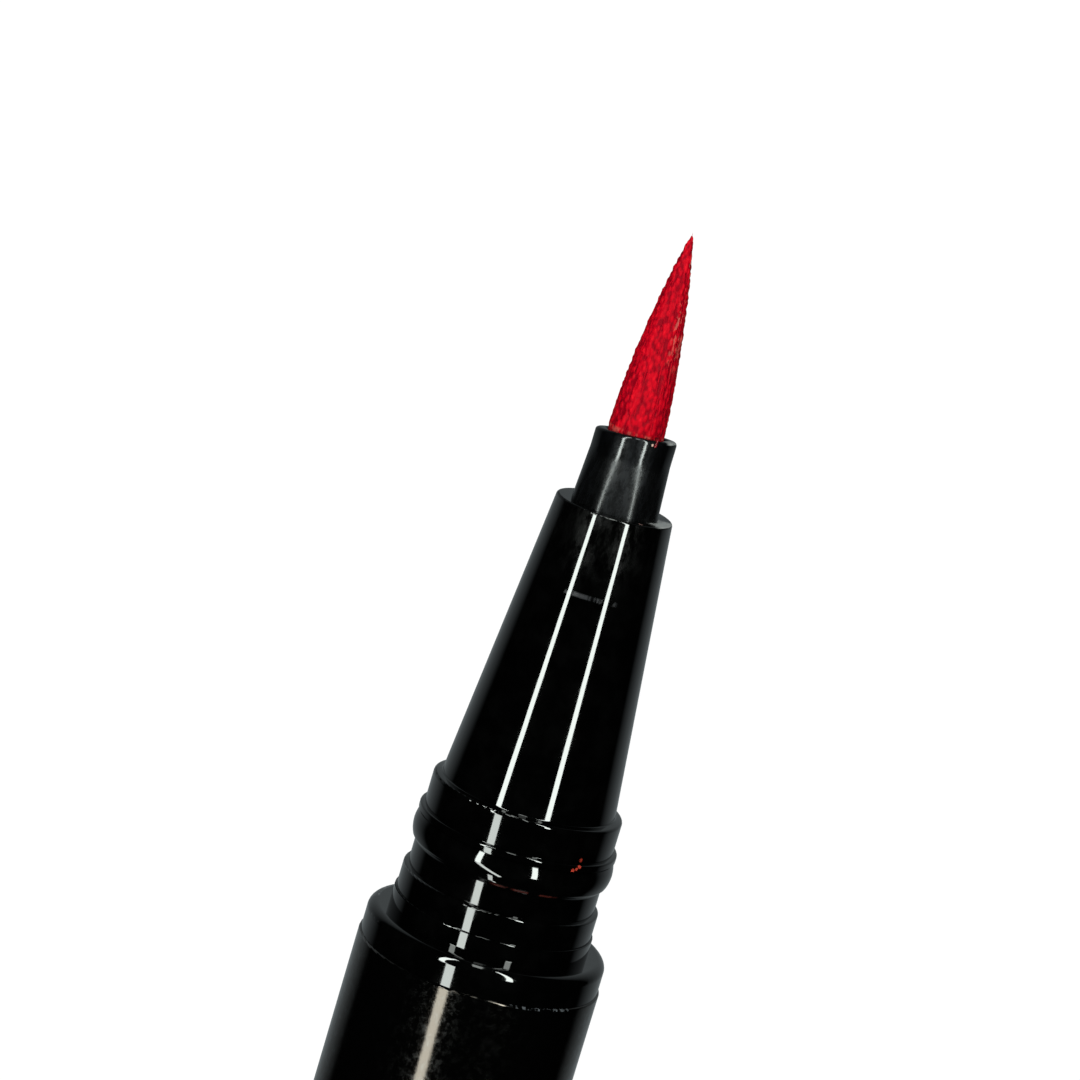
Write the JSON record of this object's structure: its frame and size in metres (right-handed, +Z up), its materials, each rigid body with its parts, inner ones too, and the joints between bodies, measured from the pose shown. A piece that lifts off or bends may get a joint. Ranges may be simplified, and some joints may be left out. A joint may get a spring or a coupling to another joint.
{
  "type": "calligraphy marker",
  "caption": "Black brush marker with a red fibre brush in a stepped conical front section, an ink reservoir in a round barrel and a snap cap with pocket clip posted on its tail.",
  "frame": {"origin": "on the pen axis, at the barrel's front edge, where the front section's shoulder seats", "axes": "+X along the pen axis towards the brush, +Z up, with the pocket clip underneath; on a table the pen rests on the clip and on the barrel's front end, which tips it less than 1 degree"},
  "size_m": [0.1776, 0.0126, 0.0147],
  "materials": {
    "barrel_plastic": "satin black, slightly softer gloss than the front section",
    "section_plastic": "polished jet black",
    "nozzle_plastic": "semi-gloss black with ink haze",
    "clip_plastic": "polished black",
    "brush_fibre": "nylon filaments wet with red ink",
    "wick_fibre": "bonded polyester fibre soaked with red ink",
    "ferrule_brass": "plain drawn tube",
    "feed_plastic": "natural moulded plastic",
    "film_plastic": "clear film",
    "cushion_foam": "open-cell foam",
    "liner_plastic": "soft black polyethylene",
    "seal_rubber": "soft black"
  },
  "bodies": {
    "marker": {"barrel": "barrel_plastic", "front_section": "section_plastic", "section_seal": "seal_rubber", "nozzle": "nozzle_plastic", "brush_ferrule": "ferrule_brass", "brush_butt": "brush_fibre", "feed_wick": "wick_fibre", "feed_collector": "feed_plastic", "feed_retainer": "feed_plastic", "reservoir_core": "wick_fibre", "reservoir_film": "film_plastic", "breather_tube": "film_plastic", "reservoir_cushion": "cushion_foam", "tail_plug": "barrel_plastic"},
    "brush": {"brush_tuft": "brush_fibre"},
    "cap": {"cap_shell": "section_plastic", "inner_cap": "liner_plastic", "cap_seal_ring": "seal_rubber", "cap_crown": "section_plastic", "pocket_clip": "clip_plastic"}
  },
  "joints": [
    {"name": "cap_pull", "type": "slide", "parent": "marker", "child": "cap", "axis": [-1, 0, 0], "range_m": [0, 0.03]},
    {"name": "brush_bend", "type": "hinge", "parent": "marker", "child": "brush", "pos_m": [0.02775, 0, 0], "axis": [0, 0, 1], "range_deg": [-30, 30], "stiffness_Nm_per_rad": 0.0006}
  ]
}
